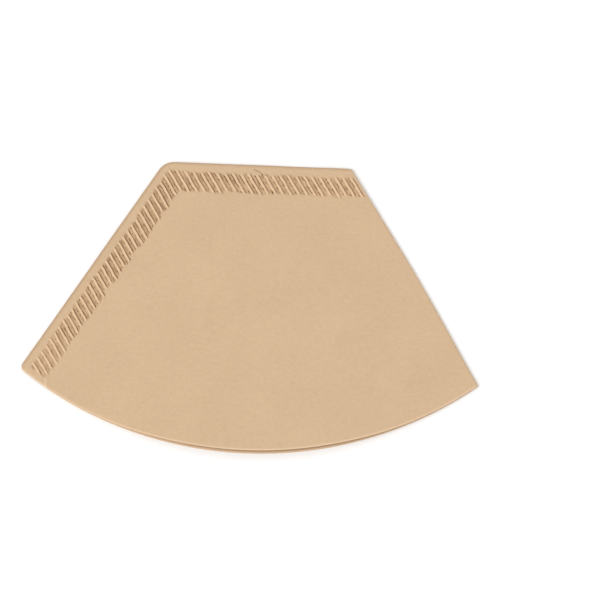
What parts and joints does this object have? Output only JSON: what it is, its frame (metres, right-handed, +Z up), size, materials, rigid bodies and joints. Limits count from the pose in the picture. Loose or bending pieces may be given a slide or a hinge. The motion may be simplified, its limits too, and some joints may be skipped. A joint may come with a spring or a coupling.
{
  "type": "paper coffee filter",
  "caption": "Flat-folded cone coffee filter of unbleached paper, with a fold along one side, crimped seams along the other side and the narrow end, and an open arc-shaped mouth.",
  "frame": {"origin": "under the middle of the folded filter's box, on the surface that it lies on", "axes": "+Z up out of the flat filter, +Y from the mouth towards the narrow end, +X towards the folded side"},
  "size_m": [0.1216, 0.0798, 0.0025],
  "materials": {
    "filter_paper": "matte"
  },
  "bodies": {
    "root": {"paper_filter": "filter_paper"}
  },
  "joints": []
}
